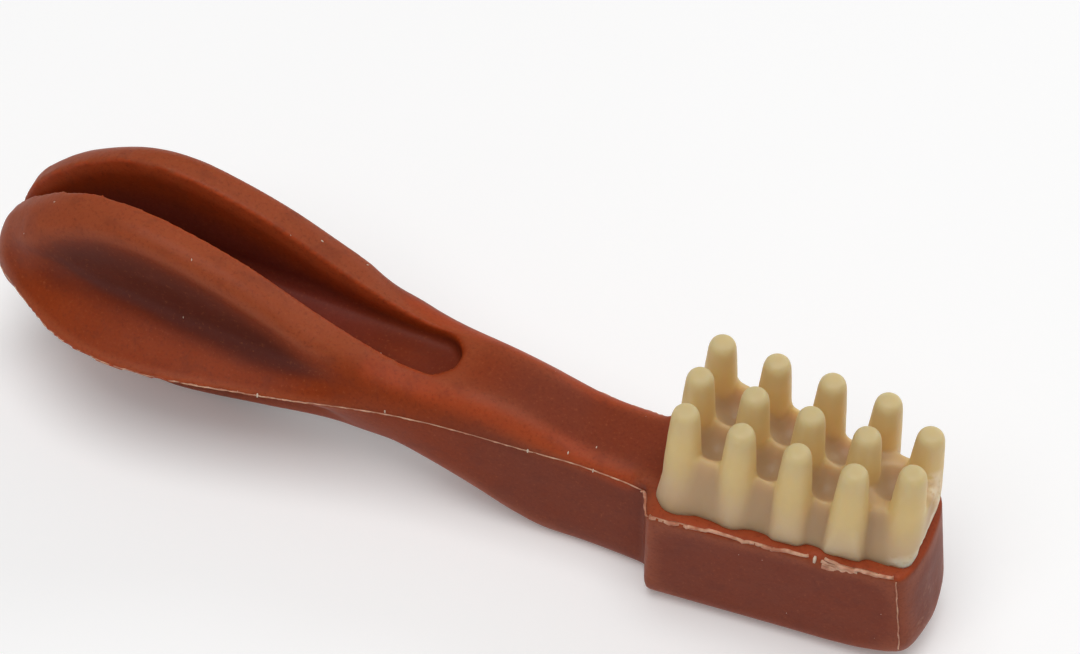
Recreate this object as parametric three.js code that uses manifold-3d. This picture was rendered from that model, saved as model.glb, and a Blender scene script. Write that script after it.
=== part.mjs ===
// A toothbrush-shaped chew for dogs, moulded in two shots: a handle with a tray at its head, and a
// pad of soft pegs that is moulded into the tray. Millimetres; X runs from the tail to the tip, Z is
// up, and the brush lies on z = 0 with the pegs on top.
import * as THREE from "three";
import { mergeVertices } from "three/addons/utils/BufferGeometryUtils.js";
import Module from "manifold-3d";

const wasm = await Module();
wasm.setup();

// ---- Driving dimensions ----
const LENGTH = 118.4;
const TAIL_X = -LENGTH / 2;
const TIP_X = LENGTH / 2;
const PARTING_Z = 15.3; // where the two halves of the mould meet, half way up the handle
const GAP = 0.3; // clearance between the two shots

// Half width at the parting line, and the height of the top and of the underside, along the handle.
const HALF_WIDTH = [
  [TAIL_X, 6], [-54.8, 8.6], [-50, 11.8], [-45.5, 14.2], [-38.5, 15.4], [-31, 14.7], [-18, 11.4],
  [-7.5, 8.3], [1, 6.8], [10, 5.95], [18, 5.3], [28, 5.4],
];
const TOP = [
  [TAIL_X, 18.6], [-54, 24.2], [-48.4, 28.3], [-43, 30.4], [-37.5, 30.7], [-31, 29.5], [-24, 27.2],
  [-15, 22.9], [-7.5, 20.1], [-3, 19.4], [4, 19.5], [9.6, 18.7], [16, 16.8], [20, 16.6], [28, 16.8],
];
const UNDERSIDE = [
  [TAIL_X, 12], [-54, 6.4], [-48.4, 2.3], [-42, 0], [-36, 0], [-31, 1], [-24, 3], [-15, 5.4],
  [-8, 6], [-1, 5.7], [4.5, 4.2], [9, 1.8], [14, 0], [28, 0],
];
// How strongly the sides are scooped out, from 0 to 1.
const SCOOP = [
  [TAIL_X, 0], [-56, 0.15], [-52, 0.75], [-47, 1], [-24, 1], [-16, 0.7], [-9, 0.1], [-6, 0], [28, 0],
];
const TAIL_ROUNDING = 3;
const HANDLE_END_X = 27;

// The groove along the top of the handle, and its twin underneath, are open at the tail.
const GROOVE_WIDTH = 6.4;
const GROOVE_END_X = 0.3;
const GROOVE_TAIL_WIDTH = 2.4; // the leaves on each side of it draw together toward the tail
const GROOVE_TAPER_X = -34;
const GROOVE_WEB = 3.4; // what is left between the two floors

// The tray at the head.
const NOSE_LEAN = 1.8; // how far the tip leans out toward its foot
const TRAY = {
  start: 27.8,
  corner: 55.6,
  tip: TIP_X - NOSE_LEAN,
  width: 19,
  tipWidth: 13.4,
  rim: 16.8,
  tipRim: 17.9,
};
const TRAY_STEP = 2.2; // length over which the neck widens to the tray
const TRAY_EDGE = 3; // radius of the lower edges
const TRAY_DRAFT = 0.5;
const NOSE_RISE = 5.5; // how far the underside turns up at the tip

// The pegs: three rows of four, and a closer pair at the tip.
const PITCH = 6.4;
const ROW_Y = 5.2;
const FIRST_PEG_X = 29.9;
const PEG = { top: 32.3, tipRadius: 1.6, radius: 1.95, baseRadius: 2.5, crown: 1.1 };
const PAD_TOP = 25.3;
const PAD_FOOT_INSET = 1.5; // from the rim of the tray to the foot of the pad's side
const PAD_TOP_INSET = 2.6;
const DIMPLE = { radius: 2.3, depth: 1.6 };
const KEY_DEPTH = 4.5; // how far the pad's key goes down into the tray
const KEY_INSET = 2;
const KEY_UNDERCUT = 0.5;

const RED_BROWN = new THREE.MeshStandardMaterial({ color: 0x8f3d22, roughness: 0.45, metalness: 0 });
const CREAM = new THREE.MeshStandardMaterial({ color: 0xd6bc86, roughness: 0.5, metalness: 0 });

// ---- Helpers ----
const lerp = THREE.MathUtils.lerp;
const smooth = THREE.MathUtils.smoothstep;

// The smooth height at x of a curve through points sorted by x: a cubic with Catmull-Rom slopes.
function along(points, x) {
  const last = points.length - 1;
  let i = 0;
  while (i < last - 1 && x > points[i + 1][0]) i += 1;
  const slope = (k) => {
    const a = points[Math.max(k - 1, 0)];
    const b = points[Math.min(k + 1, last)];
    return (b[1] - a[1]) / (b[0] - a[0]);
  };
  const [x0, y0] = points[i];
  const [x1, y1] = points[i + 1];
  const w = x1 - x0;
  const t = THREE.MathUtils.clamp((x - x0) / w, 0, 1);
  const rise = y0 * (1 + 2 * t) * (1 - t) ** 2 + y1 * t * t * (3 - 2 * t);
  return rise + w * (slope(i) * t * (1 - t) ** 2 - slope(i + 1) * t * t * (1 - t));
}

// A closed solid through rings of points, which all have the same number of points.
function loft(rings) {
  const count = rings[0].length;
  const index = [];
  for (let r = 0; r < rings.length - 1; r += 1) {
    for (let k = 0; k < count; k += 1) {
      const a = r * count + k;
      const b = r * count + ((k + 1) % count);
      index.push(a, a + count, b, b, a + count, b + count);
    }
  }
  const positions = rings.flat().flatMap((p) => [p.x, p.y, p.z]);
  [0, rings.length - 1].forEach((r, end) => {
    const centre = positions.length / 3;
    const middle = rings[r].reduce((sum, p) => sum.add(p), new THREE.Vector3()).divideScalar(count);
    positions.push(middle.x, middle.y, middle.z);
    for (let k = 0; k < count; k += 1) {
      const a = r * count + k;
      const b = r * count + ((k + 1) % count);
      if (end) index.push(centre, b, a);
      else index.push(centre, a, b);
    }
  });
  const geometry = new THREE.BufferGeometry();
  geometry.setAttribute("position", new THREE.Float32BufferAttribute(positions, 3));
  geometry.setIndex(index);
  return solid(geometry);
}

// A three.js geometry as a solid that can be joined and cut, and back again.
function solid(geometry) {
  const bare = geometry.clone();
  bare.deleteAttribute("normal");
  bare.deleteAttribute("uv");
  const merged = mergeVertices(bare, 1e-4);
  const mesh = new wasm.Mesh({
    numProp: 3,
    vertProperties: merged.attributes.position.array,
    triVerts: new Uint32Array(merged.index.array),
  });
  return new wasm.Manifold(mesh);
}

function toMesh(name, shape, material) {
  const { vertProperties, triVerts } = shape.getMesh();
  const geometry = new THREE.BufferGeometry();
  geometry.setAttribute("position", new THREE.BufferAttribute(vertProperties, 3));
  geometry.setIndex(new THREE.BufferAttribute(triVerts, 1));
  geometry.computeVertexNormals();
  const mesh = new THREE.Mesh(geometry, material);
  mesh.name = name;
  return mesh;
}

// ---- Handle ----
// One cross-section: a curve over the top and one under the bottom, which meet in a crisp edge at
// the parting line. In the bulb each quarter is scooped out between a rim beside the groove and a
// wing at the parting line; in the neck the top is flat, with steep shoulders.
function handleSection(x) {
  const fromTail = Math.min((x - TAIL_X) / TAIL_ROUNDING, 1);
  const round = Math.sqrt(1 - (1 - fromTail) ** 2);
  const half = along(HALF_WIDTH, x) * round;
  const top = lerp(PARTING_Z, along(TOP, x), round);
  const underside = lerp(PARTING_Z, Math.max(along(UNDERSIDE, x), 0), round);
  const scoop = along(SCOOP, x);
  const neck = smooth(x, -8, 6);

  const quarter = (crown, flat, band, bandRise) => {
    const rise = crown - PARTING_Z;
    const rimY = Math.min(GROOVE_WIDTH / 2, half * 0.45);
    const bandY = Math.min(band, half * lerp(0.62, flat, neck));
    const plain = [
      [rimY, crown],
      [bandY, PARTING_Z + rise * lerp(0.85, 0.93, neck)],
      [lerp(bandY, half, 0.3), PARTING_Z + rise * lerp(0.76, 0.8, neck)],
      [lerp(bandY, half, 0.55), PARTING_Z + rise * 0.62],
      [lerp(bandY, half, 0.88), PARTING_Z + rise * 0.27],
    ];
    const scooped = [
      [rimY, crown],
      [bandY, PARTING_Z + rise * bandRise],
      [lerp(bandY, half, 0.09), PARTING_Z + rise * 0.68],
      [lerp(bandY, half, 0.2), PARTING_Z + rise * 0.27],
      [half - 2, PARTING_Z + Math.sign(rise) * 0.8],
    ];
    return plain.map(([y, z], i) => [lerp(y, scooped[i][0], scoop), lerp(z, scooped[i][1], scoop)]);
  };

  const outline = (quarterPoints) => {
    const right = quarterPoints.map(([y, z]) => new THREE.Vector3(x, y, z));
    const left = quarterPoints.map(([y, z]) => new THREE.Vector3(x, -y, z)).reverse();
    const edge = new THREE.Vector3(x, half, PARTING_Z);
    const ends = [new THREE.Vector3(x, -half, PARTING_Z), edge];
    return new THREE.CatmullRomCurve3([ends[0], ...left, ...right, ends[1]], false, "centripetal");
  };
  const steps = 36;
  const upper = quarter(top, 0.64, 6.6, lerp(0.78, 0.94, smooth(x, -56, -34)));
  const lower = neckBelly(quarter(underside, 0.86, 5.2, 0.88), underside, half, neck);
  const over = outline(upper).getPoints(steps);
  const under = outline(lower).getPoints(steps);
  const ring = [...over, ...under.reverse().slice(1, -1)];
  ring.forEach((point) => {
    point.z = THREE.MathUtils.clamp(point.z, underside, top);
  });
  return ring;
}

// Below the parting line the neck's sides go straight down to a rounded lower edge.
function neckBelly(points, underside, half, neck) {
  const belly = [
    [half * 0.55, underside],
    [half * 0.72, underside],
    [half * 0.88, underside + 0.3],
    [half + 0.2, underside + 2],
    [half + 0.2, lerp(underside, PARTING_Z, 0.6)],
  ];
  return points.map(([y, z], i) => [lerp(y, belly[i][0], neck), lerp(z, belly[i][1], neck)]);
}

function handle() {
  const stations = [0.02, 0.25, 0.7, 1.4, 2.2, 3.2];
  for (let d = 5; TAIL_X + d < HANDLE_END_X; d += 1.8) stations.push(d);
  return loft(stations.map((d) => handleSection(TAIL_X + d)));
}

// A groove cutter: its end is half a cylinder standing up, and it runs out past the tail.
function groove(floor, direction) {
  const depth = 24;
  const radius = GROOVE_WIDTH / 2;
  const tail = GROOVE_TAIL_WIDTH / 2;
  const plan = new THREE.Shape();
  plan.moveTo(TAIL_X - 5, -tail);
  plan.lineTo(TAIL_X, -tail);
  plan.quadraticCurveTo(lerp(TAIL_X, GROOVE_TAPER_X, 0.5), -radius, GROOVE_TAPER_X, -radius);
  plan.absarc(GROOVE_END_X - radius, 0, radius, -Math.PI / 2, Math.PI / 2);
  plan.lineTo(GROOVE_TAPER_X, radius);
  plan.quadraticCurveTo(lerp(TAIL_X, GROOVE_TAPER_X, 0.5), radius, TAIL_X, tail);
  plan.lineTo(TAIL_X - 5, tail);
  const cutter = new THREE.ExtrudeGeometry(plan, { depth, bevelEnabled: false, curveSegments: 16 });
  cutter.translate(0, 0, direction > 0 ? floor : floor - depth);
  return solid(cutter);
}

// ---- Tray ----
function trayHalf(x) {
  const straight = lerp(TRAY.width, TRAY.tipWidth, (x - TRAY.start) / (TRAY.corner - TRAY.start)) / 2;
  const step = smooth(x, TRAY.start - TRAY_STEP, TRAY.start);
  const half = lerp(5.2, straight, step);
  if (x <= TRAY.corner) return half;
  const pastCorner = (x - TRAY.corner) / (TRAY.tip - TRAY.corner);
  return (TRAY.tipWidth / 2) * Math.sqrt(Math.max(1 - pastCorner ** 2, 0));
}

function rimHeight(x) {
  return lerp(TRAY.rim, TRAY.tipRim, (x - TRAY.start) / (TRAY.corner - TRAY.start));
}

function traySection(x) {
  const half = trayHalf(x);
  const rim = rimHeight(x);
  const nose = THREE.MathUtils.clamp((x - TRAY.tip + 9) / 9, 0, 1);
  const bottom = NOSE_RISE * (1 - Math.sqrt(1 - nose ** 2 * 0.96));
  const edge = Math.min(TRAY_EDGE, half * 0.9);
  const low = half - TRAY_DRAFT * Math.min(half / 8, 1);
  const side = [[half, rim], [half, rim - 0.4]];
  for (let a = 0; a <= 90; a += 15) {
    const angle = THREE.MathUtils.degToRad(a);
    side.push([low - edge + edge * Math.cos(angle), bottom + edge - edge * Math.sin(angle)]);
  }
  const lean = NOSE_LEAN * smooth(x, TRAY.corner - 8, TRAY.corner);
  const leaning = (z) => x + lean * Math.min((rim - z) / (rim - NOSE_RISE), 1);
  const left = side.map(([y, z]) => new THREE.Vector3(leaning(z), -y, z)).reverse();
  const right = side.map(([y, z]) => new THREE.Vector3(leaning(z), y, z));
  return [...left, ...right];
}

function tray() {
  const stations = [TRAY.start - TRAY_STEP - 1];
  for (let k = 0; k <= 6; k += 1) stations.push(TRAY.start - TRAY_STEP + (TRAY_STEP * k) / 6);
  for (let x = TRAY.start + 3; x < TRAY.corner; x += 2.6) stations.push(x);
  for (let k = 0; k <= 9; k += 1) {
    const angle = (k / 9) * (Math.PI / 2) * 0.985;
    stations.push(TRAY.corner + (TRAY.tip - TRAY.corner) * Math.sin(angle));
  }
  return loft(stations.map(traySection));
}

// ---- Pad and pegs ----
function pegPlaces() {
  const places = [];
  for (let column = 0; column < 4; column += 1) {
    for (const row of [-1, 0, 1]) {
      const x = FIRST_PEG_X + PITCH * column - (row ? 0 : 0.5);
      places.push({ x, y: row * ROW_Y, outer: row !== 0 || column === 0 });
    }
  }
  for (const side of [-1, 1]) {
    places.push({ x: FIRST_PEG_X + PITCH * 3.88, y: side * 2.8, outer: true });
  }
  return places;
}

// A peg is turned about its own axis: a flattened dome, a taper, and a root that flares out. The
// outer ones run down the pad's side to the tray.
function peg({ x, y, outer }) {
  const foot = outer ? rimHeight(x) + GAP : PAD_TOP - 2;
  const room = trayHalf(Math.min(x, TRAY.corner)) - Math.abs(y) - GAP;
  const profile = new THREE.Path();
  profile.moveTo(0, foot);
  profile.lineTo(Math.min(PEG.baseRadius, room), foot);
  profile.lineTo(PEG.radius, PAD_TOP + 1);
  profile.lineTo(PEG.tipRadius, PEG.top - PEG.crown);
  profile.quadraticCurveTo(PEG.tipRadius * 0.92, PEG.top, PEG.tipRadius * 0.4, PEG.top);
  profile.lineTo(0, PEG.top);
  const points = profile.getPoints(4);
  const turned = new THREE.LatheGeometry(points, 18);
  turned.rotateX(Math.PI / 2);
  turned.translate(x, y, 0);
  return solid(turned);
}

// The outline of the tray's rim drawn in by an inset, as a shape to extrude.
function padOutline(inset) {
  const start = TRAY.start - 1 + inset;
  const half = (x) => trayHalf(THREE.MathUtils.clamp(x, TRAY.start, TRAY.corner)) - inset;
  const end = TRAY.corner;
  const shape = new THREE.Shape();
  shape.moveTo(start, -half(start) + 1.2);
  shape.quadraticCurveTo(start, -half(start), start + 1.2, -half(start + 1.2));
  shape.lineTo(end - 2, -half(end - 2));
  shape.quadraticCurveTo(end + 1 - inset, -half(end), end + 1.7 - inset, 0);
  shape.quadraticCurveTo(end + 1 - inset, half(end), end - 2, half(end - 2));
  shape.lineTo(start + 1.2, half(start + 1.2));
  shape.quadraticCurveTo(start, half(start), start, half(start) - 1.2);
  return shape;
}

function slab(inset, bottom, top) {
  const options = { depth: top - bottom, bevelEnabled: false, curveSegments: 10 };
  const geometry = new THREE.ExtrudeGeometry(padOutline(inset), options);
  geometry.translate(0, 0, bottom);
  return solid(geometry);
}

// Everything above the tray's sloping rim, raised by a clearance.
function aboveRim(clearance) {
  const shape = new THREE.Shape();
  shape.moveTo(TRAY.start - 10, rimHeight(TRAY.start - 10) + clearance);
  shape.lineTo(TIP_X + 10, rimHeight(TIP_X + 10) + clearance);
  shape.lineTo(TIP_X + 10, 60);
  shape.lineTo(TRAY.start - 10, 60);
  const wedge = new THREE.ExtrudeGeometry(shape, { depth: 60, bevelEnabled: false });
  wedge.translate(0, 0, -30);
  wedge.rotateX(Math.PI / 2);
  return solid(wedge);
}

// The hollows between every four pegs.
function dimples() {
  const hollows = [];
  for (let column = 0; column < 3; column += 1) {
    for (const side of [-1, 1]) {
      const ball = new THREE.SphereGeometry(1, 14, 8);
      ball.scale(DIMPLE.radius, DIMPLE.radius, DIMPLE.depth + 0.6);
      ball.translate(FIRST_PEG_X + PITCH * (column + 0.46), (side * ROW_Y) / 2, PAD_TOP + 0.6);
      hollows.push(solid(ball));
    }
  }
  return wasm.Manifold.union(hollows);
}

function pad() {
  const places = pegPlaces();
  const key = slab(KEY_INSET, TRAY.rim - KEY_DEPTH, TRAY.tipRim + 1)
    .add(slab(KEY_INSET - KEY_UNDERCUT, TRAY.rim - KEY_DEPTH, TRAY.rim - KEY_DEPTH + 1.6));
  const foot = slab(PAD_FOOT_INSET, TRAY.rim - 1, TRAY.rim);
  const crest = slab(PAD_TOP_INSET, PAD_TOP - 0.5, PAD_TOP);
  const block = wasm.Manifold.hull([foot, crest]).subtract(dimples());
  let above = block;
  for (const place of places) above = above.add(peg(place));
  return above.intersect(aboveRim(GAP)).add(key);
}

function pocket() {
  return slab(KEY_INSET - GAP, TRAY.rim - KEY_DEPTH - GAP, PAD_TOP)
    .add(slab(KEY_INSET - KEY_UNDERCUT - GAP, TRAY.rim - KEY_DEPTH - GAP, TRAY.rim - KEY_DEPTH + 1.6 + GAP));
}

// ---- The brush ----
const web = GROOVE_WEB / 2;
const handleBody = handle()
  .add(tray())
  .subtract(groove(PARTING_Z + web, 1))
  .subtract(groove(PARTING_Z - web, -1))
  .subtract(pocket());

const brush = new THREE.Group();
brush.add(toMesh("handle_body", handleBody, RED_BROWN));
brush.add(toMesh("bristle_pad", pad(), CREAM));
export default brush;
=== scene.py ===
# %% [markdown]
# # A toothbrush-shaped dental chew
# The real thing comes out of a two-shot mould. The first shot is the red-brown handle with a tray
# at its head, and the second is a pad of soft cream pegs that sets inside the tray. Nothing moves,
# so both pieces ride on one body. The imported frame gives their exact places, and this lesson gives
# them their soft edges, mould marks and waxy, slightly see-through colours.

# %% Load the frame
import math

import bmesh
import bpy
import numpy as np
from mathutils import Matrix, Vector, kdtree, noise
from mathutils.bvhtree import BVHTree


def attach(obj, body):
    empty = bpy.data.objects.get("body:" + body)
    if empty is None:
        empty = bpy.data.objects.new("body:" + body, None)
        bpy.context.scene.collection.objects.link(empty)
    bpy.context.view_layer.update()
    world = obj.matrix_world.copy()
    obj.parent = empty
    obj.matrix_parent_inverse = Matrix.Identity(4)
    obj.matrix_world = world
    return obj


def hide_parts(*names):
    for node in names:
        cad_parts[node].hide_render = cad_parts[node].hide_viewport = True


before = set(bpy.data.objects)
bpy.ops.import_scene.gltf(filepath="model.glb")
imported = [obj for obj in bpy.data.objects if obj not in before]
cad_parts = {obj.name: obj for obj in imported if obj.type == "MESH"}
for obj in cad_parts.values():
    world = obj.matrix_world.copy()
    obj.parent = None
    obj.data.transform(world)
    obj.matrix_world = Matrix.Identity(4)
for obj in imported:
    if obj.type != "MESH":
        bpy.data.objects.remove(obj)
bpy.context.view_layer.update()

MM = 0.001

# %% [markdown]
# ## Camera
# A long lens from above and in front of the head keeps the taper of the handle gentle. The camera
# is turned about Z and tipped down, and never rolled, so its angles can be given directly.

# %% Camera
eye = bpy.data.cameras.new("eye")
eye.lens = 93.33
eye.sensor_width = 36
camera = bpy.data.objects.new("camera", eye)
camera.location = Vector((91.14, -176.21, 269.42)) * MM
camera.rotation_euler = (math.radians(39.05), 0, math.radians(24.62))
bpy.context.scene.collection.objects.link(camera)
bpy.context.scene.camera = camera
print("camera at", [round(value, 3) for value in camera.location])

# %% [markdown]
# ## Patterns as sums
# A finish is easier to read when its patterns are written as maths. Value wraps one socket, so
# that 1 - mask adds a Math node, and Finish.node adds every other kind of node.


# %% Node maths
class Value:
    """One output socket of a finish, which can be added to, taken from a number, and multiplied."""

    def __init__(self, finish, socket):
        self.finish = finish
        self.socket = socket

    def maths(self, operation, a, b):
        return self.finish.node("ShaderNodeMath", {"operation": operation}, {0: a, 1: b})

    def __add__(self, other):
        return self.maths("ADD", self, other)

    def __radd__(self, other):
        return self.maths("ADD", other, self)

    def __rsub__(self, other):
        return self.maths("SUBTRACT", other, self)

    def __mul__(self, other):
        return self.maths("MULTIPLY", self, other)

    def __rmul__(self, other):
        return self.maths("MULTIPLY", other, self)


class Finish:
    """A procedural material, with short ways to add the nodes that the finishes here share."""

    def __init__(self, name):
        self.material = bpy.data.materials.new(name)
        self.material.use_nodes = True
        self.tree = self.material.node_tree
        self.tree.nodes.clear()
        self.place = self.node("ShaderNodeTexCoord", outlet="Object")

    def node(self, kind, settings=None, inlets=None, outlet=0):
        made = self.tree.nodes.new(kind)
        for name, setting in (settings or {}).items():
            setattr(made, name, setting)
        for name, value in (inlets or {}).items():
            if isinstance(value, Value):
                self.tree.links.new(value.socket, made.inputs[name])
            else:
                made.inputs[name].default_value = value
        return Value(self, made.outputs[outlet])

    def attribute(self, name):
        return self.node("ShaderNodeAttribute", {"attribute_name": name}, outlet="Fac")

    def noise(self, size, detail=2.0, roughness=0.5):
        """Noise from 0 to 1 whose blotches are about this size in millimetres."""
        inlets = {"Vector": self.place, "Scale": 1 / (size * MM)}
        inlets |= {"Detail": detail, "Roughness": roughness}
        return self.node("ShaderNodeTexNoise", inlets=inlets, outlet="Fac")

    def ease(self, value, start, end):
        """0 before start and 1 after end, with a soft change between them."""
        inlets = {"Value": value, "From Min": start, "From Max": end}
        return self.node("ShaderNodeMapRange", {"interpolation_type": "SMOOTHSTEP"}, inlets)

    def blend(self, under, over, mask):
        inlets = {0: mask, 6: under, 7: over}
        return self.node("ShaderNodeMix", {"data_type": "RGBA", "clamp_factor": True}, inlets, outlet=2)

    def bump(self, height, distance, strength=1.0):
        inlets = {"Height": height, "Distance": distance, "Strength": strength}
        return self.node("ShaderNodeBump", inlets=inlets)

    def surface(self, inlets):
        shader = self.node("ShaderNodeBsdfPrincipled", inlets=inlets)
        output = self.tree.nodes.new("ShaderNodeOutputMaterial")
        self.tree.links.new(shader.socket, output.inputs["Surface"])
        return self.material


def paint(red, green, blue):
    return (red, green, blue, 1)


print("patterns ready")

# %% [markdown]
# ## Floor and light
# A product table is a pale sheet under a big soft light. One large panel overhead gives the even
# top light, a second lower one from behind brightens the edges, and a weak one fills the front.

# %% Floor and light
floor_mesh = bpy.data.meshes.new("floor")
floor_bm = bmesh.new()
bmesh.ops.create_grid(floor_bm, x_segments=1, y_segments=1, size=2.5)
floor_bm.to_mesh(floor_mesh)
floor_bm.free()
floor = bpy.data.objects.new("floor", floor_mesh)
bpy.context.scene.collection.objects.link(floor)
sheet = Finish("pale_table")
grain = sheet.noise(90)
tint = sheet.blend(paint(0.93, 0.93, 0.93), paint(0.96, 0.96, 0.96), grain)
floor.data.materials.append(sheet.surface(
    {"Base Color": tint, "Roughness": 0.8, "Emission Color": paint(1, 1, 1), "Emission Strength": 0.12}
))


def soft_panel(name, place, target, size, watts):
    light = bpy.data.lights.new(name, "AREA")
    light.shape = "DISK"
    light.size = size
    light.energy = watts
    panel = bpy.data.objects.new(name, light)
    panel.location = place
    panel.rotation_euler = (Vector(target) - Vector(place)).to_track_quat("-Z", "Y").to_euler()
    bpy.context.scene.collection.objects.link(panel)


soft_panel("overhead", (0.03, -0.06, 0.92), (0, 0, 0.02), 0.7, 4.5)
soft_panel("behind", (0.35, 0.75, 0.45), (0, 0, 0.02), 0.4, 1.8)
soft_panel("front", (-0.15, -0.5, 0.9), (0, 0, 0.02), 0.5, 1.5)

world = bpy.data.worlds.new("studio")
world.use_nodes = True
world.node_tree.nodes["Background"].inputs["Color"].default_value = (1, 1, 1, 1)
world.node_tree.nodes["Background"].inputs["Strength"].default_value = 0.22
bpy.context.scene.world = world
bpy.context.scene.view_settings.view_transform = "Standard"
print("floor and 3 lights")

# %% [markdown]
# ## Handle skin
# The handle of the frame is a closed solid with a pocket for the pad, drawn in flat facets. A
# moulded chew has no facets: its surfaces flow, and only the rims and the parting line stay crisp.
# Sculpting it again would lose its exact size, so a copy is remeshed into even small squares and
# relaxed, and vertices close to a crisp edge are held back. The hidden pocket is filled first.


# %% Shared mesh helpers
def piece_from(bm, name):
    """A named object at the origin, made of a bmesh that is then freed."""
    mesh = bpy.data.meshes.new(name)
    bm.to_mesh(mesh)
    bm.free()
    piece = bpy.data.objects.new(name, mesh)
    bpy.context.scene.collection.objects.link(piece)
    return piece


def settle(piece):
    """Makes what the modifiers show the piece's own mesh."""
    graph = bpy.context.evaluated_depsgraph_get()
    finished = bpy.data.meshes.new_from_object(piece.evaluated_get(graph))
    piece.modifiers.clear()
    piece.data = finished
    return piece


def remeshed(piece, voxel):
    modifier = piece.modifiers.new("remesh", "REMESH")
    modifier.mode = "VOXEL"
    modifier.voxel_size = voxel
    return settle(piece)


def relaxed(piece, rounds, group=""):
    modifier = piece.modifiers.new("relax", "SMOOTH")
    modifier.factor = 0.5
    modifier.iterations = rounds
    modifier.vertex_group = group
    return settle(piece)


def points_of(mesh):
    flat = np.empty(len(mesh.vertices) * 3)
    mesh.vertices.foreach_get("co", flat)
    return flat.reshape(-1, 3)


print("helpers ready")

# %% Copy the handle and fill its pocket
RIM_START = Vector((27.8, 0, 16.8)) * MM  # the tray's rim rises a little toward the tip
RIM_END = Vector((55.6, 0, 17.9)) * MM
CRISP_ANGLE = math.radians(38)
PLUG_START = Vector((27.9, 8.2, 11)) * MM  # near corners of the plug: x, half width and floor
PLUG_END = Vector((56.4, 5.4, 11)) * MM


def rim_height(x):
    along = (x - RIM_START.x) / (RIM_END.x - RIM_START.x)
    return RIM_START.z + along * (RIM_END.z - RIM_START.z)


skin_bm = bmesh.new()
skin_bm.from_mesh(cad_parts["handle_body"].data)
bmesh.ops.remove_doubles(skin_bm, verts=skin_bm.verts, dist=2e-6)

crisp_points = []
for edge in skin_bm.edges:
    if len(edge.link_faces) == 2 and edge.calc_face_angle() > CRISP_ANGLE:
        start, end = (vert.co for vert in edge.verts)
        steps = max(1, round((end - start).length / (0.5 * MM)))
        crisp_points += [start.lerp(end, step / steps) for step in range(steps + 1)]

plug = bmesh.ops.create_cube(skin_bm, size=1)["verts"]
for vert in plug:
    corner = PLUG_START if vert.co.x < 0 else PLUG_END
    z = rim_height(corner.x) - 0.02 * MM if vert.co.z > 0 else corner.z
    vert.co = Vector((corner.x, math.copysign(corner.y, vert.co.y), z))
handle = piece_from(skin_bm, "handle_skin")
print(len(crisp_points), "points along crisp edges")

# %% Remesh and relax it
HANDLE_VOXEL = 0.42 * MM
remeshed(handle, HANDLE_VOXEL)
crisp_tree = kdtree.KDTree(len(crisp_points))
for index, point in enumerate(crisp_points):
    crisp_tree.insert(point, index)
crisp_tree.balance()
free = handle.vertex_groups.new(name="free")
for vert in handle.data.vertices:
    distance = crisp_tree.find(vert.co)[2]
    weight = min(max((distance / MM - 0.3) / 1.3, 0), 1)
    on_bulb = min(max((-8 - vert.co.x / MM) / 6, 0), 1)
    free.add([vert.index], weight * (1 - 0.5 * on_bulb), "REPLACE")
relaxed(handle, 12, "free")
relaxed(handle, 2)
print("handle skin", len(handle.data.polygons), "faces")

# %% [markdown]
# Shade and light are painted into the colour along the form: hollows get painted shade and thin
# edges a painted glow. Both come from one measure, how far a vertex stands above the averaged
# surface around it. It is kept as an attribute that the finish reads.


# %% Measure hollows and edges
def averaged(values, edges, rounds):
    count = np.bincount(edges.ravel(), minlength=len(values))[:, None]
    for _ in range(rounds):
        total = np.zeros_like(values)
        for axis in range(values.shape[1]):
            total[:, axis] += np.bincount(edges[:, 0], values[edges[:, 1], axis], len(values))
            total[:, axis] += np.bincount(edges[:, 1], values[edges[:, 0], axis], len(values))
        values = total / count
    return values


def edges_of(mesh):
    flat = np.empty(len(mesh.edges) * 2, np.int64)
    mesh.edges.foreach_get("vertices", flat)
    return flat.reshape(-1, 2)


def relief_of(piece, rounds):
    """How far each vertex stands proud of the averaged surface, in millimetres, and the normals."""
    mesh = piece.data
    edges = edges_of(mesh)
    normals = np.empty(len(mesh.vertices) * 3)
    mesh.vertex_normals.foreach_get("vector", normals)
    normals = normals.reshape(-1, 3)
    points = points_of(mesh)
    proud = ((points - averaged(points, edges, rounds)) * normals).sum(1) / MM
    return averaged(proud[:, None], edges, 6)[:, 0], normals


def store(piece, name, values):
    attribute = piece.data.attributes.new(name, "FLOAT", "POINT")
    attribute.data.foreach_set("value", np.asarray(values, np.float32))


print("measures ready")

# %% [markdown]
# Remeshing and relaxing also soften the scoops of the bulb, which are clear on a real one. Moving
# each vertex along its normal by a share of its own relief brings them back, so hollows get deeper
# and ridges higher. The crisp edges are left out of it.

# %% Bring the scoops back
bulb_relief, bulb_normals = relief_of(handle, 45)
bulb_points = points_of(handle.data)
in_bulb = np.clip((-6 - bulb_points[:, 0] / MM) / 8, 0, 1)
clear_of_edges = np.array([crisp_tree.find(point)[2] for point in bulb_points]) / MM
in_bulb *= np.clip((clear_of_edges - 0.9) / 1.5, 0, 1)
push = np.clip(bulb_relief * 0.8, -0.4, 0.3) * in_bulb * MM
handle.data.vertices.foreach_set("co", (bulb_points + bulb_normals * push[:, None]).ravel())
handle.data.update()
relaxed(handle, 2)

TEAR = Vector((46.8, -7.7, 17.4)) * MM
TEAR_REACH = 1.3 * MM
for vert in handle.data.vertices:
    share = max(0, 1 - (vert.co - TEAR).length / TEAR_REACH)
    if share:
        rough = 0.7 + 0.6 * noise.noise(vert.co / (0.5 * MM))
        vert.co += Vector((0, 0.55, -0.5)) * share * rough * MM
relief, handle_normals = relief_of(handle, 90)
store(handle, "relief", relief)
print("pushed from", round(push.min() / MM, 2), "to", round(push.max() / MM, 2), "mm")
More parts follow.
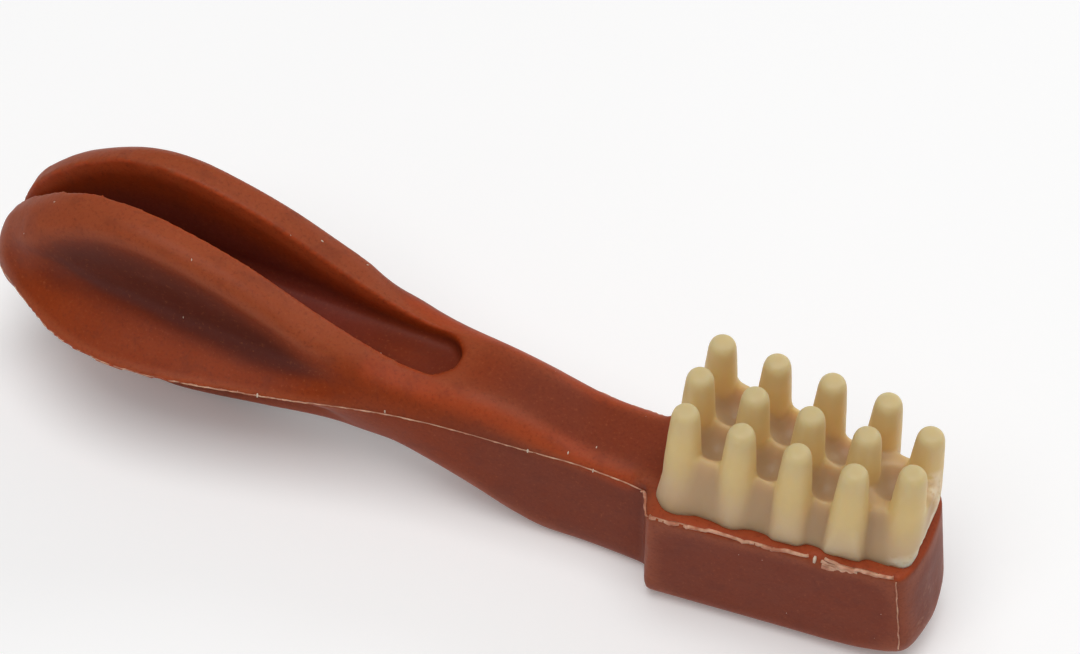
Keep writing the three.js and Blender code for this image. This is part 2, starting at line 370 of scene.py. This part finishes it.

# %% [markdown]
# More guides follow the form. Depth says how far down the groove a vertex lies. Glow marks where
# the dough is thin or lit from inside, where a painted glow stands in for light shining through it:
# the tray's top around the pad, the shoulder that runs from the end of the groove to the parting
# line, and the lips of the groove. Dull marks the neck, which is matter and browner than the bulb.
# Two more guides mark painted shade on the steep wall of the bulb's scoop and, along the line at
# its foot, painted shade with a painted purple sheen.


# %% Soft steps and distances
def soft_step(values, start, end):
    share = np.clip((values - start) / (end - start), 0, 1)
    return share * share * (3 - 2 * share)


def distance_to_line(points, corners):
    """The least distance from each point to a chain of straight lines, all in millimetres."""
    nearest = np.full(len(points), 1e3)
    for start, end in zip(corners, corners[1:]):
        start, end = np.array(start, float), np.array(end, float)
        span = end - start
        along = np.clip(((points - start) @ span) / (span @ span), 0, 1)
        apart = np.linalg.norm(points - start - along[:, None] * span, axis=1)
        nearest = np.minimum(nearest, apart)
    return nearest


print("guides ready")

# %% Depth down the groove
PARTING_Z = 15.3
GROOVE_HALF = 3.2
GROOVE_END = 0.3
TAPER_START = -34
TAPER_LENGTH = 25.2
spots = points_of(handle.data) / MM
x, y, z = spots.T
taper = np.clip((TAPER_START - x) / TAPER_LENGTH, 0, 1)
into_end = np.clip(x - GROOVE_END + GROOVE_HALF, 0, None)
round_end = np.sqrt(np.clip(GROOVE_HALF**2 - into_end**2, 0, None))
half_groove = np.minimum(GROOVE_HALF - 2 * taper**2, round_end)
in_groove = (np.abs(y) < half_groove + 0.15) & (x < GROOVE_END + 0.15)
station = np.clip(np.round(x + 60).astype(int), 0, 121)
crown = np.zeros(122)
keel = np.full(122, 30.0)
np.maximum.at(crown, station, z)
np.minimum.at(keel, station, z)
depth = np.where(z > PARTING_Z, crown[station] - z, z - keel[station])
depth = np.where(in_groove, np.clip(depth, 0, None), 0)
store(handle, "depth", depth)
print("groove vertices", int((depth > 0).sum()), "and deepest", round(depth.max(), 1), "mm")

# %% Glow and dullness
SHOULDER = [
    (-8, -5.4, 19.4), (-2.3, -5.0, 18.6), (3.1, -4.9, 18.6), (9.4, -4.8, 17.8), (15.5, -4.6, 16.7),
    (23, -5.2, 15.6),
]
mirrored = np.column_stack([x, -np.abs(y), z])
shoulder = 1 - soft_step(distance_to_line(mirrored, SHOULDER), 0.3, 2.3)
on_tray = soft_step(x, 26.4, 28.4) * soft_step(z, 15.8, 16.4)
on_tray *= soft_step(handle_normals[:, 2], 0.35, 0.75)
lips = (depth > 0) * (1 - soft_step(depth, 1.5, 7)) * soft_step(z, 18, 20)
# The glow is painted into the colour, standing in for light shining through thin dough.
glow = np.maximum(np.maximum(shoulder * 0.75, on_tray * 0.56), lips * 0.9)
store(handle, "glow", glow)
store(handle, "dull", soft_step(x, -2, 10))
print("glow up to", round(glow.max(), 2))

# %% Painted shade on the scoop wall, painted sheen on its crease
WALL_TOP = [  # x and height
    (-54, 21.3), (-51.5, 24), (-47.3, 27), (-42, 29), (-36.4, 29.3), (-31.9, 28.5), (-27.3, 27.2),
    (-23.1, 25.1), (-18, 22.8), (-12.3, 20.4),
]
WALL_FOOT = [
    (-54, 20.4), (-51.6, 20.6), (-47.4, 20.4), (-42, 19.2), (-36.7, 18.9), (-32, 18.2), (-27.2, 17.8),
    (-22.2, 17.2), (-17.4, 17.1), (-12.9, 17.4),
]
height = PARTING_Z + np.abs(z - PARTING_Z)  # the lower scoop mirrors the upper one
top = np.interp(x, *np.array(WALL_TOP).T)
foot = np.interp(x, *np.array(WALL_FOOT).T)
bulb_side = (depth == 0) * soft_step(x, -54.5, -45) * (1 - soft_step(x, -20, -8))
bulb_side *= np.abs(handle_normals[:, 1]) > 0.2
# The scoop guide marks the steep wall of the bulb's scoop, where the finish paints shade.
scoop_wall_shade = soft_step(height, foot - 0.9, foot + 1)
scoop_wall_shade *= (1 - soft_step(height, top - 4.2, top + 0.2)) * bulb_side
store(handle, "scoop_shade", averaged(scoop_wall_shade[:, None], edges_of(handle.data), 4)[:, 0])
# The crease guide marks the foot of the scoop wall, where painted shade with a painted purple sheen
# goes.
from_crease = np.abs(height - foot - 0.9)
store(handle, "crease_shade_and_sheen", (1 - soft_step(from_crease, 0.2, 1.1)) * bulb_side)
print("scoop wall vertices", int((scoop_wall_shade > 0.5).sum()))

# %% [markdown]
# ## Peg pad
# On the real chew the pegs and the block under them are one shot of a softer, creamier dough, and
# every corner in the mould is rounded. A peg is a turned shape, so its outline is spun about its
# axis. The block is a cube that is cut finely and pushed into a tapering, scalloped form with
# hollows between the pegs. One remesh joins them all, and relaxing it leaves fillets at the feet.

# %% Peg places
PITCH = 6.4 * MM
ROW_Y = 5.2 * MM
FIRST_X = 29.9 * MM
PAD_TOP = 25.3 * MM

peg_places = []
for column in range(4):
    for row in (-1, 0, 1):
        x = FIRST_X + PITCH * column - (0 if row else 0.5 * MM)
        peg_places.append((x, row * ROW_Y, row != 0 or column == 0))
for side in (-1, 1):
    peg_places.append((FIRST_X + PITCH * 3.88, side * 2.8 * MM, True))
print(len(peg_places), "pegs")

# %% Spin the pegs
PEG_OUTLINE = [  # radius and height above the block's top
    (0, 7.0), (0.65, 6.97), (1.1, 6.82), (1.4, 6.45), (1.55, 5.85), (1.63, 5.0), (1.69, 4.2),
    (1.82, 2.4), (1.95, 0.4), (2.08, -1.6),
]


def add_peg(bm, x, y, outer):
    outline = [(radius, PAD_TOP / MM + height) for radius, height in PEG_OUTLINE]
    foot = rim_height(x) / MM
    if outer:
        outline += [(2.2, foot + 3), (2.36, foot + 0.9), (2.4, foot - 0.2), (0, foot - 0.2)]
    else:
        outline += [(0, outline[-1][1])]
    axis = Vector((x, y, 0))
    verts = [bm.verts.new(axis + Vector((radius, 0, height)) * MM) for radius, height in outline]
    edges = [bm.edges.new(pair) for pair in zip(verts, verts[1:])]
    bmesh.ops.spin(
        bm, geom=verts + edges, cent=axis, axis=(0, 0, 1), angle=math.tau, steps=28, use_merge=True
    )


pad_bm = bmesh.new()
for x, y, outer in peg_places:
    add_peg(pad_bm, x, y, outer)
bmesh.ops.remove_doubles(pad_bm, verts=pad_bm.verts, dist=1e-6)
bmesh.ops.recalc_face_normals(pad_bm, faces=pad_bm.faces)
print(len(pad_bm.faces), "faces in the pegs")

# %% Push the block into shape
BLOCK_START = 28.4 * MM
BLOCK_END = 56.7 * MM


def tray_half(x):
    along = min(max((x - 27.8 * MM) / (27.8 * MM), 0), 1)
    return (9.5 - 2.8 * along) * MM


def hollow_depth(x, y):
    """How far the top of the block dips between four pegs."""
    dip = 0
    for column in range(3):
        for side in (-1, 1):
            centre_x = FIRST_X + PITCH * (column + 0.46)
            apart = math.hypot(x - centre_x, y - side * ROW_Y / 2) / (2.8 * MM)
            dip = max(dip, 2.6 * MM * max(0, 1 - apart * apart))
    apart = math.hypot(x - FIRST_X - PITCH * 3.5, y) / (2.6 * MM)
    return max(dip, 1.7 * MM * max(0, 1 - apart * apart))


def place_in_block(u, v, w):
    """Where a point of a unit cube goes in the block. u is along, v across and w up."""
    flare = (1 - w) * 1.45 * MM
    x = (BLOCK_START - flare * 0.8) * (1 - u) + (BLOCK_END + flare * 0.3) * u
    scallop = 0.5 + 0.5 * math.cos((x - FIRST_X) / PITCH * math.tau)
    half = tray_half(x) - (3.1 - 0.5 * scallop) * MM + flare
    at_tip = max(0, (u - 0.86) / 0.14)
    at_neck = max(0, (0.09 - u) / 0.09)
    half *= math.sqrt(1 - 0.62 * at_tip * at_tip - 0.35 * at_neck * at_neck)
    y = half * (2 * v - 1)
    low = rim_height(x) - 0.25 * MM
    high = PAD_TOP + 0.15 * MM - hollow_depth(x, y)
    return Vector((x, y, low + (high - low) * w))


block_bm = bmesh.new()
bmesh.ops.create_cube(block_bm, size=1)
bmesh.ops.subdivide_edges(block_bm, edges=block_bm.edges, cuts=44, use_grid_fill=True)
for vert in block_bm.verts:
    vert.co = place_in_block(vert.co.x + 0.5, vert.co.y + 0.5, vert.co.z + 0.5)
block_mesh = bpy.data.meshes.new("block")
block_bm.to_mesh(block_mesh)
block_bm.free()
pad_bm.from_mesh(block_mesh)
bpy.data.meshes.remove(block_mesh)
print("block joined,", len(pad_bm.faces), "faces")

# %% [markdown]
# The dough was shot in at the tip of the pad, and a torn lump of the feed is left there. The feet
# of the pegs are kept a little way inside the rim of the tray.

# %% Gate lump and feet
GATE = Vector((56.7, 0.9, 23.2)) * MM
lump = bmesh.ops.create_icosphere(pad_bm, subdivisions=3, radius=1)["verts"]
for vert in lump:
    rough = 1 + 0.5 * noise.noise(vert.co * 2.3)
    vert.co = GATE + Vector((vert.co.x * 0.9, vert.co.y * 1.3, vert.co.z * 1.7)) * rough * MM
for vert in pad_bm.verts:
    down = min(max((PAD_TOP - vert.co.z) / (PAD_TOP - rim_height(vert.co.x)), 0), 1)
    if down > 0:
        limit = tray_half(vert.co.x) - (0.3 + 0.75 * down) * MM
        vert.co.y = max(-limit, min(limit, vert.co.y))
        vert.co.x = min(vert.co.x, (57.3 - 0.75 * down) * MM)
pad = piece_from(pad_bm, "peg_pad")
PAD_VOXEL = 0.22 * MM
remeshed(pad, PAD_VOXEL)
soft = pad.vertex_groups.new(name="soft")
for vert in pad.data.vertices:
    up_the_peg = min(max((vert.co.z - PAD_TOP) / (2.2 * MM), 0), 1)
    soft.add([vert.index], 1 - 0.92 * up_the_peg, "REPLACE")
relaxed(pad, 18, "soft")
relaxed(pad, 2)
print("peg pad", len(pad.data.polygons), "faces")

# %% Paint guides on the pad
pad_relief = relief_of(pad, 70)[0]
store(pad, "relief", pad_relief)
pad_points = points_of(pad.data)
axes = np.array([(x, y) for x, y, _ in peg_places])
from_axis = np.linalg.norm(pad_points[:, None, :2] - axes[None], axis=2).min(1) / MM
# The floor between the pegs is marked here; the finish paints shade on it.
between = soft_step(from_axis, 1.75, 2.7) * (1 - soft_step(pad_points[:, 2] / MM, 25.2, 26.6))
store(pad, "between", between)
TORN_PATCH = [(56.4, 1.4, 26), (56.9, 1.4, 22.3), (56.6, -0.8, 19.6), (55.4, -4.4, 18.4)]
torn_share = 1 - soft_step(distance_to_line(pad_points / MM, TORN_PATCH), 0.7, 2.1)
store(pad, "torn", torn_share)
for vert, share in zip(pad.data.vertices, torn_share):
    if share:
        vert.co += vert.normal * share * 0.16 * noise.noise(vert.co / (0.9 * MM)) * MM
print("relief of the pad from", pad_relief.min().round(2), "to", pad_relief.max().round(2), "mm")

# %% [markdown]
# ## Flash
# Where the halves of the mould meet, a little dough squeezes out and is torn off. It leaves a thin
# pale ragged fin along both sides of the handle, up a small step at the tray, along the tray's rim
# and down the corner of the tip. A fin is a chain of vertices on the skin, extruded outward by an
# uneven height, and Solidify gives it thickness. A ray cast onto the skin finds each place.

# %% Find the parting line
graph = bpy.context.evaluated_depsgraph_get()
skin_tree = BVHTree.FromObject(handle, graph)


def on_side(x, z, side):
    """The point of the skin at this x and height, seen square on from one side."""
    hit, normal, _, _ = skin_tree.ray_cast(Vector((x, side * 30, z)) * MM, Vector((0, -side, 0)))
    return (hit, normal) if hit else None


def walk(corners, step):
    """Points every step millimetres along straight lines between corners."""
    points = []
    for start, end in zip(corners, corners[1:]):
        count = max(1, round((Vector(end) - Vector(start)).length / step))
        points += [Vector(start).lerp(Vector(end), index / count) for index in range(count)]
    return points + [Vector(corners[-1])]


def side_path(corners, side, step=0.35):
    found = [on_side(point.x, point.y, side) for point in walk(corners, step)]
    return [place for place in found if place]


print("skin has", len(handle.data.vertices), "vertices to cast onto")


# %% Grow the fins
def ragged(place, low, high, grain_mm, seed):
    """An uneven height for the fin at this place, in metres."""
    wave = noise.noise(place / (grain_mm * MM) + Vector((seed, 0, 0)))
    fine = noise.noise(place / (0.5 * MM) + Vector((0, seed, 0)))
    share = min(max(0.5 + 0.8 * wave + 0.9 * fine, 0), 1)
    return (low + (high - low) * share) * MM


def add_fin(bm, path, low, high, grain_mm, seed):
    verts = [bm.verts.new(place - normal * 0.12 * MM) for place, normal in path]
    edges = [bm.edges.new(pair) for pair in zip(verts, verts[1:])]
    roots = {tuple(vert.co): place_and_normal for vert, place_and_normal in zip(verts, path)}
    grown = bmesh.ops.extrude_edge_only(bm, edges=edges)["geom"]
    for vert in grown:
        if isinstance(vert, bmesh.types.BMVert):
            place, normal = roots[tuple(vert.co)]
            vert.co = place + normal * ragged(place, low, high, grain_mm, seed)


fins = bmesh.new()
for side in (-1, 1):
    bulb_line = side_path([(-57.5, PARTING_Z, 0), (-20, PARTING_Z, 0)], side, 0.5)
    neck_line = side_path([(-20, PARTING_Z, 0), (25.4, PARTING_Z, 0)], side)
    step_line = side_path([(25.4, PARTING_Z, 0), (26.6, 15.9, 0), (27.7, 16.5, 0)], side, 0.2)
    add_fin(fins, bulb_line, -0.06, 0.1, 6, side)
    add_fin(fins, neck_line, 0.0, 0.13, 3, side + 3)
    add_fin(fins, step_line, 0.12, 0.36, 2, side)

for side in (-1, 1):
    corner = []
    for point in walk([(55.9, 7.2, 17.5), (57.5, 7.2, 4.6)], 0.3):
        target = Vector((point.x, side * point.y, point.z)) * MM
        place, normal, _, _ = skin_tree.find_nearest(target)
        corner.append((place, normal))
    add_fin(fins, corner, 0.06, 0.28, 1.6, side + 12)

rim_fins = bmesh.new()
add_fin(rim_fins, side_path([(27.8, 16.66, 0), (55.3, 17.74, 0)], 1, 0.22), -0.02, 0.42, 1.3, 7)
add_fin(rim_fins, side_path([(27.8, 16.66, 0), (45.8, 17.37, 0)], -1, 0.22), -0.02, 0.42, 1.3, 5)
add_fin(rim_fins, side_path([(47.6, 17.44, 0), (55.3, 17.74, 0)], -1, 0.22), 0.12, 0.5, 1.1, 8)
for drop, end in ((0.3, 51.4), (0.6, 50.1), (0.85, 48.9)):  # torn dough smeared down beside the tear
    smear = [(47.3 + 0.3 * drop, 17.43 - drop, 0), (end, 17.6 - drop, 0)]
    add_fin(rim_fins, side_path(smear, -1, 0.22), 0.0, 0.24, 0.9, 9 + drop)


def thickened(bm, name, thickness):
    piece = piece_from(bm, name)
    modifier = piece.modifiers.new("thickness", "SOLIDIFY")
    modifier.thickness = thickness * MM
    modifier.offset = 0
    return settle(piece)


flash = thickened(fins, "mould_flash", 0.13)
rim_flash = thickened(rim_fins, "rim_flash", 0.34)
print("flash", len(flash.data.polygons), "and", len(rim_flash.data.polygons), "faces")

# %% [markdown]
# ## Crumbs
# Trimming leaves pale crumbs stuck along the parting line, and others are scattered over the waxy
# skin. Each is a small flattened ball that is pressed onto the nearest place of the skin. The
# random numbers have a fixed seed, so the crumbs are the same on every run.

# %% Scatter the crumbs
CRUMBS = [  # place, and size in millimetres
    (-19.9, -11.8, 15.4, 0.3), (-5.5, -7.8, 15.7, 0.24), (-31.3, -8.0, 19.6, 0.14),
    (16.0, -4.7, 16.2, 0.2), (19.3, -5.3, 15.3, 0.26), (11.5, -5.8, 15.3, 0.3),
    (18.7, -2.9, 16.6, 0.16), (-30.0, -6.2, 28.7, 0.16), (-49.3, -4.2, 27.4, 0.16),
    (-19.6, 5.1, 25.0, 0.2), (-14, 6.4, 23, 0.18), (46.6, -7.5, 17.2, 0.5),
]
dice = np.random.default_rng(7)
for _ in range(18):
    angle = dice.uniform(0, math.tau)
    place = (dice.uniform(-55, 56), 16 * math.cos(angle), 15 + 14 * math.sin(angle))
    CRUMBS.append((*place, dice.uniform(0.05, 0.1)))

crumb_bm = bmesh.new()
for x, y, z, size in CRUMBS:
    place, normal, _, _ = skin_tree.find_nearest(Vector((x, y, z)) * MM)
    turn = normal.to_track_quat("Z", "X").to_matrix().to_4x4()
    shape = Matrix.Diagonal((size * MM * 1.1, size * MM * 0.45, size * MM * 0.35, 1))
    pressed_on = Matrix.Translation(place) @ turn @ shape
    bmesh.ops.create_icosphere(crumb_bm, subdivisions=1, radius=1, matrix=pressed_on)
crumbs = piece_from(crumb_bm, "crumbs")
print(len(CRUMBS), "crumbs")

# %% [markdown]
# ## Finishes
# The handle is a dense, waxy dough. Light goes a little way in, and a painted glow and painted
# highlight turn thin edges orange, while painted shade makes the hollows and the groove purple-brown.
# The pegs let more light through, helped by a faint painted glow: their caps are pale, their feet
# milky, and painted shade makes the floor between them pink-brown.

# %% Handle finish
chew = Finish("handle_chew")
relief_here = chew.attribute("relief")
depth_here = chew.attribute("depth")
glow_here = chew.attribute("glow")
along_brush = chew.node("ShaderNodeSeparateXYZ", inlets={0: chew.place}, outlet="X") * 1000

cloudy = chew.ease(chew.noise(16, 3), 0.35, 0.7)
body = chew.blend(paint(0.245, 0.034, 0.005), paint(0.285, 0.042, 0.007), cloudy)
dulled = chew.attribute("dull") * (0.55 + 0.4 * chew.noise(7))
body = chew.blend(body, paint(0.183, 0.0355, 0.0155), dulled)
# Painted shade: hollows in the relief are darkened, less so where the neck is marked dull.
hollow_shade = 1 - chew.ease(relief_here, -0.6, 0.0)
painted_hollow_shade = hollow_shade * (1 - 0.8 * chew.attribute("dull"))
body = chew.blend(body, paint(0.1, 0.015, 0.01), painted_hollow_shade * 0.6)
# Painted shade on the steep wall of the bulb's scoop.
body = chew.blend(body, paint(0.092, 0.0155, 0.008), chew.attribute("scoop_shade") * 0.9)
# Painted shade with a painted purple sheen along the crease at the foot of the scoop.
body = chew.blend(body, paint(0.115, 0.028, 0.02), chew.attribute("crease_shade_and_sheen") * 0.6)
# Painted highlight: ridges that stand proud are lightened orange, for sheen and light through thin
# edges.
edge = chew.ease(relief_here, 0.25, 0.8)
body = chew.blend(body, paint(0.38, 0.1, 0.042), edge * 0.45)
# Painted glow: orange where light would shine through thin dough, on the tray's top, the shoulder and
# the groove's lips.
body = chew.blend(body, paint(0.44, 0.064, 0.014), glow_here * (0.55 + 0.5 * chew.noise(3)))
# Painted shade deep down the groove.
groove_shade = chew.ease(depth_here, 3, 8)
body = chew.blend(body, paint(0.19, 0.031, 0.018), groove_shade * 0.9)
print("form colours done")

# %% [markdown]
# Small things make it read as a chew and not as plastic: darker grains in the dough, tiny lighter
# flecks, scuffs where the tip has rubbed, and a skin that is faintly uneven and waxy in patches.

# %% Grain, scuffs and sheen of the handle
grains = chew.noise(0.38, 3, 0.65)
smudges = chew.noise(2.6, 3, 0.6)
body = chew.blend(body, paint(0.1, 0.016, 0.008), chew.ease(1 - grains, 0.5, 0.72) * 0.32)
body = chew.blend(body, paint(0.42, 0.11, 0.04), chew.ease(grains, 0.58, 0.74) * 0.3)
body = chew.blend(body, paint(0.15, 0.028, 0.013), chew.ease(smudges, 0.5, 0.7) * 0.28)
rubbed = chew.ease(along_brush, 57.4, 58.8) * chew.ease(chew.noise(1.2, 4, 0.7), 0.55, 0.66)
body = chew.blend(body, paint(0.5, 0.27, 0.17), rubbed * 0.25)
waxy = chew.noise(4, 3)
unevenness = chew.noise(0.8, 3, 0.6) * 0.5 + chew.noise(5, 2) * 2.5
handle_material = chew.surface(
    {
        "Base Color": body,
        "Roughness": 0.4 + 0.16 * waxy,
        "Normal": chew.bump(unevenness, 0.00005),
        "Subsurface Weight": 0.25,
        "Subsurface Radius": (1.0, 0.22, 0.08),
        "Subsurface Scale": 0.003,
        "Specular IOR Level": 0.12,
    }
)
print("handle finish", len(chew.tree.nodes), "nodes")

# %% Peg finish
cream = Finish("bristle_chew")
height = cream.node("ShaderNodeSeparateXYZ", inlets={0: cream.place}, outlet="Z") * 1000
streaks = cream.noise(3.5, 3)
peg = cream.blend(paint(0.58, 0.435, 0.19), paint(0.65, 0.505, 0.235), streaks)
caps = cream.ease(height, 27.5, 33.0)
peg = cream.blend(peg, paint(0.5, 0.415, 0.235), caps)
milky = 1 - cream.ease(height, 18.5, 25.5)
peg = cream.blend(peg, paint(0.58, 0.43, 0.27), milky)
# Painted shade: the floor between the pegs is darkened pink-brown, and concave valleys darker still.
between = cream.attribute("between")
valley_shade = 1 - cream.ease(cream.attribute("relief"), -0.6, 0.1)
peg = cream.blend(peg, paint(0.47, 0.3, 0.17), between * 0.8)
peg = cream.blend(peg, paint(0.36, 0.2, 0.1), valley_shade * 0.85)
torn_gate = cream.attribute("torn") * cream.ease(cream.noise(1.1, 3, 0.6), 0.25, 0.55)
peg = cream.blend(peg, paint(0.76, 0.65, 0.49), torn_gate * 0.8)
peg_bump = cream.bump(cream.noise(0.7, 3) * 0.5 + cream.noise(3, 2), 0.00004)
peg_material = cream.surface(
    {
        "Base Color": peg,
        "Roughness": 0.4 + 0.15 * streaks,
        "Normal": peg_bump,
        "Subsurface Weight": 0.8,
        "Subsurface Radius": (1.0, 0.65, 0.35),
        "Subsurface Scale": 0.007,
        "Specular IOR Level": 0.3,
        # Painted glow: a faint amber emission stands in for light shining through the pegs.
        "Emission Color": paint(1.0, 0.68, 0.3),
        "Emission Strength": 0.045,
    }
)
print("peg finish", len(cream.tree.nodes), "nodes")

# %% Flash and crumb finishes
torn = Finish("torn_flash")
frayed = torn.ease(torn.noise(1.4, 2), 0.4, 0.65)
flash_colour = torn.blend(paint(0.46, 0.18, 0.1), paint(0.68, 0.39, 0.26), frayed)
flash_material = torn.surface(
    {
        "Base Color": flash_colour,
        "Roughness": 0.55 + 0.2 * frayed,
        "Subsurface Weight": 0.2,
        "Subsurface Scale": 0.001,
    }
)
pale = Finish("pale_crumb")
crumb_colour = pale.blend(paint(0.5, 0.33, 0.22), paint(0.8, 0.72, 0.6), pale.noise(2))
crumb_material = pale.surface({"Base Color": crumb_colour, "Roughness": 0.7})
print("flash finish", len(torn.tree.nodes), "nodes")

# %% [markdown]
# ## Put it together
# Each piece gets its finish and smooth shading and rides on the one body, and where it stands for
# a part of the frame, that part is hidden.


# %% Assemble
def finish_piece(piece, material, node=None):
    piece.data.materials.clear()
    piece.data.materials.append(material)
    piece.data.shade_smooth()
    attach(piece, "root")
    if node:
        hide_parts(node)


finish_piece(handle, handle_material, "handle_body")
finish_piece(pad, peg_material, "bristle_pad")
finish_piece(flash, flash_material)
finish_piece(rim_flash, flash_material)
finish_piece(crumbs, crumb_material)
print("pieces", handle.name, pad.name, flash.name, crumbs.name)
